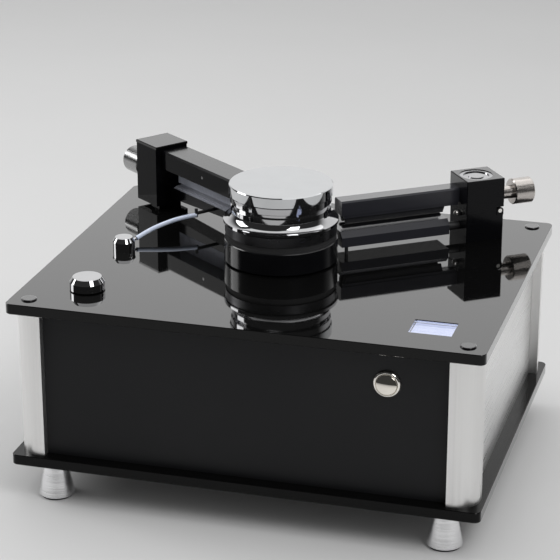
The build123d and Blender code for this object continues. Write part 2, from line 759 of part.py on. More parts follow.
# The lower bar is deepest where it meets the post, and holds its brush in a channel
channel_across = (wash_lower_across[0] + 0.8, wash_lower_across[1] - 0.8)
with BuildPart() as wash_lower_bar:
    with BuildSketch(arm_side(wash_angle, wash_lower_across[1])):
        with BuildLine():
            Polyline(
                (wash_bar_inner, wash_lower_tip),
                (join_along, wash_lower_root),
                (join_along, wash_lower_top),
                (wash_bar_inner, wash_lower_top),
                close=True,
            )
        make_face()
    extrude(amount=wash_lower_across[1] - wash_lower_across[0])
    slab(wash, brush_along, channel_across, (brush_foot, wash_lower_top), mode=Mode.SUBTRACT)
save(wash_lower_bar, "wash_lower_bar")

with BuildPart() as wash_lower_brush:
    with BuildSketch(arm_end(wash_angle, brush_along[0])):
        with BuildLine():
            Polyline(
                (channel_across[0], brush_foot),
                (channel_across[1], brush_foot),
                (channel_across[1], wash_lower_top),
                (brush_across[1] + 1, brush_meet[0]),
                (channel_across[0], brush_meet[0]),
                close=True,
            )
        make_face()
    extrude(amount=brush_along[1] - brush_along[0])
save(wash_lower_brush, "wash_lower_brush")

thumb_screw(wash_angle, wash_screw_spot, 12.3, wash_along[1], 10.6, 23, "wash_thumb_screw")

# Feed pipe: nozzle under the record, fed by the hose, carried by the lower brush bar
nozzle_spot = (99.9, 19.7)
nozzle_up = (13.5, 21)
feed_up = 16.8
pipe_radius = 1.5
with BuildPart() as wash_feed_pipe:
    disc(wash, nozzle_spot, pipe_radius, nozzle_up)
    pin_across(wash_angle, (nozzle_spot[0], feed_up), pipe_radius, (wash_lower_across[1], nozzle_spot[1]))
save(wash_feed_pipe, "wash_feed_pipe")

# Mode knob and its encoder
with BuildPart() as mode_knob:
    disc(lid_face, mode_spot, mode_radius, mode_up)
    cone(lid_face, mode_spot, (mode_radius, mode_top_radius), mode_bevel_up)
    disc(lid_face, mode_spot, encoder_neck + 0.5, (mode_up[0], 4), mode=Mode.SUBTRACT)
    disc(lid_face, mode_spot, mode_shaft, (-14, 4))
save(mode_knob, "mode_knob")

with BuildPart() as knob_encoder:
    with BuildSketch(floor.offset(lid_bottom - 9)):
        with Locations(mode_spot):
            Rectangle(16, 16)
    extrude(amount=9)
    disc(floor, mode_spot, encoder_neck, (lid_bottom, lid_top + 1))
    disc(floor, mode_spot, mode_shaft + running, (lid_bottom - 6, lid_top + 1), mode=Mode.SUBTRACT)
save(knob_encoder, "knob_encoder")

# Dosing valve: body with a nipple for the hose, and its turning cap
valve_radius = 9.6
valve_up = 7
valve_cap_radii = (10, 7.6)
valve_cap_up = (valve_up + 0.3, valve_up + 0.7)
valve_bevel_up = (valve_cap_up[1], 11.4)
neck_foot = -24
nipple_start = Vector(valve_x, valve_y, lid_top + 4.2)
nipple_run = Vector(*hose_route[0]) - nipple_start
with BuildPart() as valve_body:
    disc(lid_face, valve_spot, valve_radius, (0, valve_up))
    disc(lid_face, valve_spot, valve_neck, (neck_foot, 0))
    with BuildSketch(Plane(origin=nipple_start, z_dir=nipple_run), mode=Mode.PRIVATE) as nipple:
        Circle(hose_radius - 0.7)
        Circle(0.6, mode=Mode.SUBTRACT)
    extrude(nipple.sketch, amount=nipple_run.length)
    disc(lid_face, valve_spot, valve_stem + running, (2, valve_up), mode=Mode.SUBTRACT)
save(valve_body, "valve_body")

with BuildPart() as valve_cap:
    disc(lid_face, valve_spot, valve_cap_radii[0], valve_cap_up)
    cone(lid_face, valve_spot, valve_cap_radii, valve_bevel_up)
    disc(lid_face, valve_spot, valve_stem, (2.5, valve_cap_up[0]))
save(valve_cap, "valve_cap")

# Clear hose: a limp tube in gentle arcs
runs = [(Vector(*b) - Vector(*a)).length for a, b in zip(hose_route, hose_route[1:])]
turns = [
    (Vector(*b) - Vector(*a)).get_angle(Vector(*c) - Vector(*b))
    for a, b, c in zip(hose_route, hose_route[1:], hose_route[2:])
]
hose_radii = [
    0.45 * min(before, after) / abs(sin(radians(turn / 2)) / cos(radians(turn / 2)))
    for before, after, turn in zip(runs, runs[1:], turns)
]
print("hose radii", [round(r, 1) for r in hose_radii])

with BuildPart() as clear_hose:
    with BuildLine() as hose_line:
        FilletPolyline(*hose_route, radius=hose_radii)
    with BuildSketch(Plane(origin=hose_line.line @ 0, z_dir=hose_line.line % 0)):
        Circle(hose_radius)
    sweep()
hose_length = sum(edge.length for edge in hose_line.line.edges())
print("hose volume", round(clear_hose.part.volume, 1), "against", round(pi * hose_radius**2 * hose_length, 1))
save(clear_hose, "clear_hose")

# Display: clear window in the lid over its module
window_low = lid_top - 6
window_recess = 0.8
with BuildPart() as display_window:
    with BuildSketch(floor.offset(window_low)):
        with Locations(window_spot):
            RectangleRounded(*window_size, 0.6)
    extrude(amount=lid_top - window_recess - window_low)
save(display_window, "display_window")

with BuildPart() as display_module:
    with BuildSketch(floor.offset(lid_bottom - 9)):
        with Locations(window_spot):
            Rectangle(window_size[0] + 8, window_size[1] + 10)
    extrude(amount=9)
    with BuildSketch(floor.offset(lid_bottom)):
        with Locations(window_spot):
            Rectangle(window_size[0] - 1, window_size[1] - 1)
    extrude(amount=window_low - 0.2 - lid_bottom)
save(display_module, "display_module")


# Push-button in the front panel
def button_ring(outer, inner, y_span, mode=Mode.ADD):
    """A ring or disc square to the front panel, between two distances out from its face."""
    with BuildSketch(Plane.XZ.offset(panel_face[1] + y_span[0]), mode=Mode.PRIVATE) as ring:
        with Locations((button_x, button_z)):
            Circle(outer)
            if inner:
                Circle(inner, mode=Mode.SUBTRACT)
    extrude(ring.sketch, amount=y_span[1] - y_span[0], mode=mode)


bezel_radius = 11.6
bezel_hole = 8.7
plunger_radius = 8.6
with BuildPart() as button_bezel:
    button_ring(bezel_radius, bezel_hole, (0, 3))
    front_circles = button_bezel.edges().filter_by(GeomType.CIRCLE).sort_by(Axis.Y)[0:2]
    outer_edge = front_circles.sort_by(SortBy.RADIUS)[-1]
    fillet(outer_edge, 1.8)
    button_ring(barrel_radius, bezel_hole, (-18, 0))
    button_ring(barrel_radius, 0, (-28, -18))
save(button_bezel, "button_bezel")

with BuildPart() as button_plunger:
    button_ring(plunger_radius, 0, (-8, 3.6))
    fillet(button_plunger.edges().sort_by(Axis.Y)[0], 0.6)
save(button_plunger, "button_plunger")


# Fluid side, inside the case
pump_step = base_top + 20
pump_top = lid_top - 40
with BuildPart() as fluid_pump:
    slab(floor, (valve_x - 20, valve_x + 20), (valve_y - 20, valve_y + 20), (pump_step, pump_top))
    disc(floor, valve_spot, 4, (pump_top, lid_top + neck_foot))
    slab(floor, (valve_x - 18, valve_x + 18), (valve_y - 18, valve_y + 18), (base_top, pump_step))
save(fluid_pump, "fluid_pump")

wall = 2.5
fresh_along = (-178, -92)
fresh_across = (40, 122)
fresh_top = base_top + 80
waste_along = (60, 178)
waste_across = (36, 126)


def tank(along, across, top):
    """An open box with a thin wall; the lids are separate pieces."""
    slab(floor, along, across, (base_top, top))
    inside_along = (along[0] + wall, along[1] - wall)
    inside_across = (across[0] + wall, across[1] - wall)
    slab(floor, inside_along, inside_across, (base_top + wall, top), mode=Mode.SUBTRACT)


with BuildPart() as fluid_tanks:
    tank(fresh_along, fresh_across, fresh_top)
    tank(waste_along, waste_across, waste_top)
save(fluid_tanks, "fluid_tanks")

with BuildPart() as tank_lids:
    slab(floor, fresh_along, fresh_across, (fresh_top, fresh_top + 3))
    slab(floor, waste_along, waste_across, (waste_top, waste_top + 3))
    disc(floor, duct_centre, duct_radius, (waste_top, waste_top + 3), mode=Mode.SUBTRACT)
save(tank_lids, "tank_lids")

# Vacuum side
turbine_spot = (105, -38)
turbine_radius = 45
turbine_up = (base_top, base_top + 84)
turbine_step = base_top + 46
with BuildPart() as vacuum_turbine:
    disc(floor, turbine_spot, turbine_radius, (turbine_up[0], turbine_step))
    disc(floor, turbine_spot, turbine_radius - 9, (turbine_step, turbine_up[1]))
    chamfer(vacuum_turbine.edges().filter_by(GeomType.CIRCLE).group_by(Axis.Z)[-1], 4)
save(vacuum_turbine, "vacuum_turbine")


def pipe_back(centre, outer, inner, y_span):
    """A tube that runs towards the rear; its centre is given in x and z."""
    with BuildSketch(Plane.XZ.offset(-y_span[0]), mode=Mode.PRIVATE) as ring:
        with Locations(centre):
            Circle(outer)
            Circle(inner, mode=Mode.SUBTRACT)
    extrude(ring.sketch, amount=y_span[0] - y_span[1])


# Feed pipe to the pump, vacuum pipe from tank to turbine, duct from the suction tower
with BuildPart() as inner_pipes:
    pipe_back((turbine_spot[0], base_top + 28), 12, 9.5, (turbine_spot[1] + 30, waste_across[0]))
    disc(floor, turbine_spot, turbine_radius, (turbine_up[0], turbine_step), mode=Mode.SUBTRACT)
    pipe_back((valve_x, base_top + 40), 3.5, 2, (valve_y + 20, fresh_across[0]))
    disc(floor, duct_centre, duct_radius + 3, (waste_top + 3, lid_bottom - 3.2))
    disc(floor, duct_centre, duct_radius, (waste_top + 3, lid_bottom - 3.2), mode=Mode.SUBTRACT)
save(inner_pipes, "inner_pipes")

# Electrics
with BuildPart() as power_supply:
    slab(floor, (-42, 48), (-132, -86), (base_top, base_top + 38))
    chamfer(power_supply.faces().sort_by(Axis.Z)[-1].edges(), 1.5)
save(power_supply, "power_supply")

board_across = (-136, -134.4)
board_gap = panel_face[1] - panel_thick + board_across[0]
board_along = (-40, 90)
board_up = (base_top + 52, base_top + 112)
with BuildPart() as control_board:
    slab(floor, board_along, board_across, board_up)
    slab(floor, (-30, 10), (board_across[1], board_across[1] + 14), (base_top + 62, base_top + 80))
    slab(floor, (30, 70), (board_across[1], board_across[1] + 9), (base_top + 74, base_top + 100))
    with BuildSketch(Plane.XZ.offset(panel_face[1] - panel_thick)):
        with Locations((middle(board_along), middle(board_up))):
            with GridLocations(board_along[1] - board_along[0] - 12, board_up[1] - board_up[0] - 12, 2, 2):
                Circle(3)
    extrude(amount=-board_gap)
save(control_board, "control_board")

inlet_flange = 2.5
socket_depth = 16


def inlet_block(half_width, half_height, y_out, mode=Mode.ADD):
    """A block about the inlet's axis, between two distances out from the rear panel."""
    span = (panel_face[1] + y_out[0], panel_face[1] + y_out[1])
    along = (inlet_x - half_width, inlet_x + half_width)
    slab(floor, along, span, (inlet_z - half_height, inlet_z + half_height), mode=mode)


with BuildPart() as mains_inlet:
    inlet_block(17, 14, (0, inlet_flange))
    inlet_block(inlet_body[0] / 2, inlet_body[1] / 2, (-22, 0))
    inlet_block(12, 8.2, (-socket_depth, inlet_flange), mode=Mode.SUBTRACT)
    for pin_x, pin_z in ((-7, -2), (0, 2), (7, -2)):
        along = (inlet_x + pin_x - 1, inlet_x + pin_x + 1)
        pin_up_span = (inlet_z + pin_z - 2, inlet_z + pin_z + 2)
        slab(floor, along, (panel_face[1] - socket_depth, panel_face[1] - 6), pin_up_span)
save(mains_inlet, "mains_inlet")

with BuildPart() as drain_spout:
    with BuildSketch(Plane.XZ.offset(-waste_across[1])):
        with Locations(drain_spot):
            Circle(drain_outer)
            Circle(drain_inner, mode=Mode.SUBTRACT)
    extrude(amount=waste_across[1] + 1 - plate_depth / 2)
save(drain_spout, "drain_spout")
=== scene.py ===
import random
from math import cos, pi, radians, sin

import bmesh
import bpy
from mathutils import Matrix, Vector


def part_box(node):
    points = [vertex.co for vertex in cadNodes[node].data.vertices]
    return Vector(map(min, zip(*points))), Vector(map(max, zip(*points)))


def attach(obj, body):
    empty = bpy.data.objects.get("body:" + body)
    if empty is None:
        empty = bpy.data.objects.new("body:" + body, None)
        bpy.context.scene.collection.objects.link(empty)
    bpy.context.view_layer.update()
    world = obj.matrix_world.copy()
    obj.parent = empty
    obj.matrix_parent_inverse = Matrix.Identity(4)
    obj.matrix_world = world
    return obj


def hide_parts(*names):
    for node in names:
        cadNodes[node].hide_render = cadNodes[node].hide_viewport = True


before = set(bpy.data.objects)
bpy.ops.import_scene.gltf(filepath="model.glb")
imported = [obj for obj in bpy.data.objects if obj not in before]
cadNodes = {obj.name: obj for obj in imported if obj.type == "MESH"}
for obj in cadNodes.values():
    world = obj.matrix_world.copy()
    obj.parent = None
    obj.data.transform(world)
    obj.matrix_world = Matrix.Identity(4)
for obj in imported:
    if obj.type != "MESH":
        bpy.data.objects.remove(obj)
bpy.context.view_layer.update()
mm = 0.001
print("record cleaning machine loaded,", len(cadNodes), "CAD nodes")


def cornersOf(node):
    return [Vector(corner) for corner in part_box(node)]


def middleOf(node):
    low, high = cornersOf(node)
    return (low + high) / 2


hubCentre = middleOf("platter_hub")
lidTop = cornersOf("lid_plate")[1].z
armTurn = {"wash": radians(142.6), "suction": radians(36.4)}
washTurn, suctionTurn = armTurn["wash"], armTurn["suction"]


def onArm(arm, along, across, up):  # mm out from the hub's axis, to the left of that, up from the lid
    turn = armTurn[arm]
    x = hubCentre.x + (along * cos(turn) - across * sin(turn)) * mm
    y = hubCentre.y + (along * sin(turn) + across * cos(turn)) * mm
    return Vector((x, y, lidTop + up * mm))


# Camera at the height of someone standing back from the bench, with a long lens
camera = {
    "place": (0.4703, -1.6793, 0.8269), "turn": 15.98, "dip": 20.9,
    "lens": 139.08, "sensor": 36, "clip": (0.05, 60),
}
eye = bpy.data.objects.new("benchCamera", bpy.data.cameras.new("benchCamera"))
eye.data.sensor_width = camera["sensor"]
eye.data.lens = camera["lens"]
eye.data.clip_start, eye.data.clip_end = camera["clip"]
eye.location = camera["place"]
eye.rotation_euler = (radians(90 - camera["dip"]), 0, radians(camera["turn"]))
bpy.context.collection.objects.link(eye)
bpy.context.scene.camera = eye
print("camera set")


class Wire:
    # one socket of a node tree, so that shader maths reads as plain sums
    def __init__(self, tree, socket):
        self.tree = tree
        self.socket = socket

    def maths(self, operation, first, second=0.0):
        node = self.tree.nodes.new("ShaderNodeMath")
        node.operation = operation
        plug(self.tree, first, node.inputs[0])
        plug(self.tree, second, node.inputs[1])
        return Wire(self.tree, node.outputs[0])

    def __add__(self, other):
        return self.maths("ADD", self, other)

    def __sub__(self, other):
        return self.maths("SUBTRACT", self, other)

    def __rsub__(self, other):
        return self.maths("SUBTRACT", other, self)

    def __mul__(self, other):
        return self.maths("MULTIPLY", self, other)

    def sine(self):
        return self.maths("SINE", self)

    __radd__ = __add__
    __rmul__ = __mul__


def plug(tree, value, socket):
    if isinstance(value, Wire):
        tree.links.new(value.socket, socket)
    else:
        socket.default_value = value


class Nodes:
    # a node tree, and the one way in which any node but a sum joins it
    def __init__(self, tree):
        self.tree = tree

    def node(self, kind, settings, inputs, output=0):
        node = self.tree.nodes.new(kind)
        for name, value in settings.items():
            setattr(node, name, value)
        for name, value in inputs.items():
            plug(self.tree, value, node.inputs[name])
        return Wire(self.tree, node.outputs[output])


class Finish(Nodes):
    # a Principled material and what varies it over a surface
    def __init__(self, name, fixed):
        self.material = bpy.data.materials.new(name)
        self.material.use_nodes = True
        super().__init__(self.material.node_tree)
        self.shader = self.tree.nodes["Principled BSDF"]
        for socket, value in fixed.items():
            self.shader.inputs[socket].default_value = value
        self.place = self.node("ShaderNodeTexCoord", {}, {}, "Object")

    def feed(self, socket, value):
        plug(self.tree, value, self.shader.inputs[socket])

    def noise(self, scale, detail=3, place=None, rough=0.5):
        where = place or self.place
        return self.node("ShaderNodeTexNoise", {}, {
            "Vector": where, "Scale": scale, "Detail": detail, "Roughness": rough,
        })

    def streaks(self, turn, stretch, detail=3, rough=0.5):  # noise turned about the upright, then stretched
        about = self.node("ShaderNodeMapping", {}, {"Vector": self.place, "Rotation": (0, 0, -turn)})
        place = self.node("ShaderNodeMapping", {}, {"Vector": about, "Scale": stretch})
        return self.noise(1, detail, place, rough)

    def specks(self, scale, size):  # 1 on small scattered dots, 0 elsewhere
        near = self.node("ShaderNodeTexVoronoi", {}, {"Vector": self.place, "Scale": scale}, "Distance")
        return self.between(near, size, size * 0.4)

    def between(self, value, low, high, outLow=0.0, outHigh=1.0):  # runs from outLow to outHigh, clamped
        return self.node("ShaderNodeMapRange", {"clamp": True}, {
            "Value": value, "From Min": low, "From Max": high, "To Min": outLow, "To Max": outHigh,
        })

    def spread(self, noise, outLow, outHigh):  # the middle of a noise's range, where most of it lies
        return self.between(noise, 0.3, 0.7, outLow, outHigh)

    def blend(self, factor, first, second):
        return self.node("ShaderNodeMix", {"data_type": "RGBA"}, {0: factor, 6: first, 7: second}, 2)

    def bump(self, height, depth, strength):
        self.feed("Normal", self.node("ShaderNodeBump", {}, {
            "Height": height, "Distance": depth, "Strength": strength,
        }))

    def vector(self, operation, first, second, output=0):
        return self.node("ShaderNodeVectorMath", {"operation": operation}, {0: first, 1: second}, output)

    def radius(self, centre):  # distance from an upright axis, in metres
        away = self.vector("SUBTRACT", self.place, centre)
        flat = self.vector("MULTIPLY", away, (1, 1, 0))
        return self.node("ShaderNodeVectorMath", {"operation": "LENGTH"}, {0: flat}, "Value")

    def axis(self, name):
        return self.node("ShaderNodeSeparateXYZ", {}, {0: self.place}, name)

    def glance(self, low, high):  # a second gloss that comes in where the surface is seen at a low angle
        facing = self.node("ShaderNodeLayerWeight", {}, {"Blend": 0.5}, "Facing")
        self.feed("Coat Weight", self.between(facing, low, high))


def grey(value):
    return (value, value, value, 1)


def dimmed(tint, part):
    return tuple(value * part for value in tint[:3]) + (1,)


def blackAcrylic(name, ior, coat):
    look = {
        "dark": grey(0.003), "dust": grey(0.04), "gloss": 0.025, "haze": 0.06, "wipe": 9,
        "hair": (40, 2600, 900), "hairTurn": 0.5, "speck": 420, "speckSize": 0.09,
        "ripple": 26, "depth": 0.00002,
    }
    finish = Finish(name, {"IOR": ior, "Coat IOR": coat, "Coat Roughness": 0.03})
    finish.glance(0.3, 0.6)
    wipe = finish.noise(look["wipe"], 4, rough=0.62)
    scuff = finish.between(finish.streaks(look["hairTurn"], look["hair"], 2), 0.68, 0.76)
    dust = finish.specks(look["speck"], look["speckSize"])
    gloss = finish.between(wipe, 0.35, 0.75, look["gloss"], look["haze"])
    finish.feed("Base Color", finish.blend(dust * 0.35 + scuff * 0.06, look["dark"], look["dust"]))
    finish.feed("Roughness", gloss + dust * 0.3 + scuff * 0.05)
    finish.bump(finish.noise(look["ripple"], 2), look["depth"], 0.35)
    return finish.material


def satinBlack():
    look = {
        "dark": (0.0065, 0.0068, 0.0076, 1), "light": (0.0095, 0.0098, 0.011, 1), "rough": (0.4, 0.52),
        "cloud": 11, "grain": 1900, "depth": 0.00004,
    }
    finish = Finish("satinBlackPaint", {"IOR": 1.45, "Specular IOR Level": 0.3})
    cloud = finish.noise(look["cloud"], 4)
    grain = finish.noise(look["grain"], 2)
    finish.feed("Base Color", finish.blend(cloud, look["dark"], look["light"]))
    finish.feed("Roughness", finish.spread(cloud, *look["rough"]) + grain * 0.05)
    finish.bump(grain, look["depth"], 0.5)
    return finish.material


def blackAnodised(name, turn, rough, deep=0.002, worn=0.006, ior=1.22):  # drawn along the arm at turn
    look = {"tint": (1, 1.02, 1.25, 1), "draw": (22, 2600, 2600), "cloud": 55, "depth": 0.000012}
    finish = Finish(name, {"IOR": ior, "Coat IOR": 1.62, "Coat Roughness": 0.2})
    finish.glance(0.5, 0.62)
    draw = finish.streaks(turn, look["draw"])
    cloud = finish.noise(look["cloud"])
    wear = draw * 0.5 + cloud * 0.25
    finish.feed("Base Color", finish.blend(wear, dimmed(look["tint"], deep), dimmed(look["tint"], worn)))
    finish.feed("Roughness", finish.spread(draw * 0.4 + cloud * 0.6, rough - 0.04, rough + 0.06))
    finish.bump(draw, look["depth"], 0.4)
    return finish.material


def satinAluminium(name, stretch, light, rough, depth=0.00002):
    look = {"dull": 0.9, "cloud": 16}
    finish = Finish(name, {"Metallic": 1.0, "IOR": 1.45})
    draw = finish.streaks(0, stretch, 4, 0.6)
    cloud = finish.noise(look["cloud"])
    finish.feed("Base Color", finish.blend(draw * 0.55 + cloud * 0.3, light, dimmed(light, look["dull"])))
    finish.feed("Roughness", finish.spread(draw, rough - 0.06, rough + 0.08))
    finish.bump(draw, depth, 0.6)
    return finish.material


def turnedMetal(name, centre, tint, rough, depth):
    # fine rings left by the lathe, about an upright axis
    look = {"ringsPerMetre": 1 / 0.00035, "wipe": 60, "dull": 0.86}
    finish = Finish(name, {"Metallic": 1.0, "IOR": 1.45})
    rings = finish.node("ShaderNodeTexNoise", {"noise_dimensions": "1D"}, {
        "W": finish.radius(centre) * look["ringsPerMetre"], "Scale": 1.0, "Detail": 2.0,
    })
    wipe = finish.noise(look["wipe"])
    finish.feed("Base Color", finish.blend(wipe * 0.5 + rings * 0.2, tint, dimmed(tint, look["dull"])))
    finish.feed("Roughness", finish.between(wipe, 0.3, 0.75, rough * 0.7, rough * 1.5))
    finish.bump(rings, depth, 0.6)
    return finish.material


def stainless(name, turn, tint):
    look = {"draw": (90, 2600, 2600), "cloud": 120, "dull": 0.7, "rough": (0.16, 0.34), "depth": 0.00003}
    finish = Finish(name, {"Metallic": 1.0, "IOR": 1.45})
    draw = finish.streaks(turn, look["draw"])
    cloud = finish.noise(look["cloud"])
    finish.feed("Base Color", finish.blend(draw * 0.5 + cloud * 0.3, tint, dimmed(tint, look["dull"])))
    finish.feed("Roughness", finish.spread(draw, *look["rough"]))
    finish.bump(draw, look["depth"], 0.6)
    return finish.material


def domedChrome(name, centre, curve):  # a polish crowned about centre, curve metres in radius
    look = {
        "bright": (0.93, 0.885, 0.81, 1), "wiped": (0.86, 0.82, 0.75, 1), "wipe": 180, "rough": (0.03, 0.07),
    }
    finish = Finish(name, {"Metallic": 1.0, "IOR": 1.45})
    wipe = finish.noise(look["wipe"])
    away = finish.vector("SUBTRACT", finish.place, centre)
    square = finish.vector("DOT_PRODUCT", away, away, "Value")
    finish.feed("Base Color", finish.blend(wipe, look["bright"], look["wiped"]))
    finish.feed("Roughness", finish.between(wipe, 0.3, 0.75, *look["rough"]))
    finish.bump(square * (-0.5 / curve), 1.0, 1.0)
    return finish.material


def moulded(name, tint, rough, grainScale=2600, depth=0.00006):
    look = {"cloud": 30, "lighter": 1.35, "lift": 0.002}
    finish = Finish(name, {"IOR": 1.5})
    grain = finish.noise(grainScale)
    cloud = finish.noise(look["cloud"])
    lighter = tuple(part * look["lighter"] + look["lift"] for part in tint[:3]) + (1,)
    finish.feed("Base Color", finish.blend(cloud * 0.7 + grain * 0.3, tint, lighter))
    finish.feed("Roughness", finish.between(cloud + grain * 0.4, 0.4, 1.0, rough - 0.07, rough + 0.09))
    finish.bump(grain, depth, 0.6)
    return finish.material


def velvet():
    look = {
        "root": (0.006, 0.006, 0.007, 1), "tip": (0.03, 0.03, 0.034, 1),
        "pile": 5200, "nap": 240, "depth": 0.0003,
    }
    finish = Finish("blackVelvet", {
        "Sheen Weight": 0.7, "Sheen Roughness": 0.35, "Roughness": 0.95, "Specular IOR Level": 0.15,
    })
    pile = finish.noise(look["pile"], 2)
    nap = finish.noise(look["nap"])
    finish.feed("Base Color", finish.blend(pile * 0.6 + nap * 0.4, look["root"], look["tip"]))
    finish.bump(pile, look["depth"], 0.8)
    return finish.material


def bristle(name, root, tip, turn):
    look = {"strands": (3600, 3600, 120), "tufts": (420, 420, 20), "rough": (0.35, 0.62), "depth": 0.00025}
    finish = Finish(name, {"IOR": 1.5, "Specular IOR Level": 0.35})
    strands = finish.streaks(turn, look["strands"], 2)
    tufts = finish.streaks(turn, look["tufts"], 2)
    finish.feed("Base Color", finish.blend(strands * 0.7 + tufts * 0.3, root, tip))
    finish.feed("Roughness", finish.spread(strands, *look["rough"]))
    finish.bump(strands, look["depth"], 0.9)
    return finish.material


def clearTube():
    look = {
        "deep": (0.58, 0.66, 0.84, 1), "pale": (0.76, 0.82, 0.95, 1), "cloud": 220, "rough": (0.05, 0.1),
        "depth": 0.00008,
    }
    finish = Finish("clearTube", {"Transmission Weight": 0.12, "IOR": 1.41, "Specular IOR Level": 0.6})
    cloud = finish.noise(look["cloud"])
    finish.feed("Base Color", finish.blend(cloud, look["deep"], look["pale"]))
    finish.feed("Roughness", finish.spread(cloud, *look["rough"]))
    finish.bump(cloud, look["depth"], 0.5)
    return finish.material


def fluidCore():
    look = {"deep": (0.2, 0.25, 0.36, 1), "pale": (0.34, 0.4, 0.54, 1), "flow": 500, "rough": (0.1, 0.25)}
    finish = Finish("hoseFluid", {"IOR": 1.33})
    flow = finish.noise(look["flow"], 2)
    finish.feed("Base Color", finish.blend(flow, look["deep"], look["pale"]))
    finish.feed("Roughness", finish.spread(flow, *look["rough"]))
    return finish.material


def clearWindow():
    look = {"smear": 70, "rough": (0.0, 0.05), "depth": 0.00001}
    finish = Finish("clearWindow", {"Transmission Weight": 1.0, "IOR": 1.45, "Base Color": grey(1.0)})
    smear = finish.noise(look["smear"])
    finish.feed("Roughness", finish.between(smear, 0.4, 0.8, *look["rough"]))
    finish.bump(smear, look["depth"], 0.4)
    return finish.material


def litDisplay():
    # a blank lit grid of cells with broader bands across it, on the module's upper face alone
    look = {
        "glow": (0.56, 0.64, 0.97, 1), "line": (0.4, 0.48, 0.86, 1),
        "shell": grey(0.01), "shellLight": grey(0.02), "strength": 0.82,
        "cells": 5200, "bands": 900, "screenUp": (-0.0066, -0.0063), "cloud": 300,
    }
    finish = Finish("litDisplay", {"Roughness": 0.4, "Emission Strength": look["strength"]})
    screen = finish.between(finish.axis("Z"), *(lidTop + up for up in look["screenUp"]))
    along, across = finish.axis("Y"), finish.axis("X")
    rows, columns = (along * look["cells"]).sine(), (across * look["cells"]).sine()
    grid = finish.between(rows * 0.5 + columns * 0.5, 0.2, 0.9)
    band = finish.between((along * look["bands"]).sine(), 0.2, 0.5)
    lit = finish.blend(grid * 0.25 + band * 0.35, look["glow"], look["line"])
    finish.feed("Emission Color", finish.blend(screen, grey(0.0), lit))
    finish.feed("Base Color", finish.blend(finish.noise(look["cloud"], 2), look["shell"], look["shellLight"]))
    return finish.material


def tankPlastic():
    look = {
        "deep": (0.62, 0.63, 0.62, 1), "pale": (0.78, 0.79, 0.77, 1),
        "cloud": 24, "grain": 900, "rough": (0.35, 0.5), "depth": 0.00005,
    }
    finish = Finish("tankPlastic", {"Transmission Weight": 0.25, "IOR": 1.5})
    cloud = finish.noise(look["cloud"])
    finish.feed("Base Color", finish.blend(cloud, look["deep"], look["pale"]))
    finish.feed("Roughness", finish.spread(cloud, *look["rough"]))
    finish.bump(finish.noise(look["grain"], 2), look["depth"], 0.5)
    return finish.material


def circuitBoard():
    look = {
        "mask": (0.012, 0.075, 0.03, 1), "track": (0.03, 0.14, 0.06, 1), "chip": grey(0.015), "lanes": 160,
        "chipFrom": (-0.1342, -0.134), "depth": 0.00004,
    }
    finish = Finish("circuitBoard", {"IOR": 1.5})
    lanes = finish.node("ShaderNodeTexVoronoi", {"distance": "MANHATTAN"}, {
        "Vector": finish.place, "Scale": look["lanes"],
    })
    track = finish.between(lanes, 0.3, 0.36)
    chip = finish.between(finish.axis("Y"), *look["chipFrom"])
    bare = finish.blend(track, look["mask"], look["track"])
    finish.feed("Base Color", finish.blend(chip, bare, look["chip"]))
    finish.feed("Roughness", 0.3 + track * 0.2 + chip * 0.1)
    finish.bump(track, look["depth"], 0.6)
    return finish.material


lidAcrylic = blackAcrylic("lidAcrylic", 1.3, 1.48)
capAcrylic = blackAcrylic("capAcrylic", 1.25, 1.4)
baseAcrylic = blackAcrylic("baseAcrylic", 1.24, 1.1)
frontPaint = satinBlack()
washAnodised = blackAnodised("washAnodised", washTurn, 0.12, 0.0015, 0.004, 1.15)
suctionAnodised = blackAnodised("suctionAnodised", suctionTurn, 0.14)
# a lighter black than the towers' anodising: painted light, lifting the lower bar's top face, which lies in
# shade under the upper bar
barAnodisedPaintedLight = blackAnodised("barAnodisedPaintedLight", suctionTurn, 0.2, 0.019, 0.034, 1.38)
hubAnodised = blackAnodised("hubAnodised", 0, 0.16, ior=1.5)
profileMetal = satinAluminium("profileAluminium", (900, 900, 6), (0.86, 0.855, 0.845, 1), 0.36)
sideMetal = satinAluminium("brushedSide", (900, 5, 1400), (0.86, 0.86, 0.855, 1), 0.3)
footMetal = satinAluminium("footAluminium", (30, 30, 900), (0.92, 0.92, 0.93, 1), 0.2, 0.000006)
ringChrome = satinAluminium("ringChrome", (300, 300, 300), (0.93, 0.9, 0.85, 1), 0.1, 0.000004)
pinMetal = satinAluminium("pinMetal", (400, 400, 400), (0.96, 0.94, 0.9, 1), 0.32, 0.00001)
clampChrome = turnedMetal("clampChrome", hubCentre, (0.62, 0.63, 0.64, 1), 0.035, 0.000004)
bodyChrome = turnedMetal("bodyChrome", hubCentre, (0.5, 0.5, 0.51, 1), 0.045, 0.000004)
modeChrome = turnedMetal("modeChrome", middleOf("mode_knob"), (0.6, 0.6, 0.61, 1), 0.04, 0.000004)
valveChrome = turnedMetal("valveChrome", middleOf("valve_cap"), (0.6, 0.6, 0.61, 1), 0.04, 0.000004)
capChrome = turnedMetal("capChrome", middleOf("suction_cap"), (0.5, 0.5, 0.51, 1), 0.14, 0.000006)
padRing = turnedMetal("padRing", hubCentre, (0.1, 0.1, 0.105, 1), 0.3, 0.00003)
brass = turnedMetal("brassFitting", middleOf("drain_spout"), (0.72, 0.52, 0.24, 1), 0.25, 0.00003)
buttonMiddle = middleOf("button_plunger")
buttonCrown = {"below": Vector((0, 0, 5 * mm)), "curve": 0.027}  # its crown leans it up off the floor
buttonChrome = domedChrome("buttonChrome", buttonMiddle - buttonCrown["below"], buttonCrown["curve"])
screwSteel = stainless("screwSteel", 0, (0.5, 0.48, 0.45, 1))
washSteel = stainless("washSteel", washTurn, (0.38, 0.38, 0.38, 1))
suctionSteel = stainless("suctionSteel", suctionTurn, (0.6, 0.565, 0.535, 1))
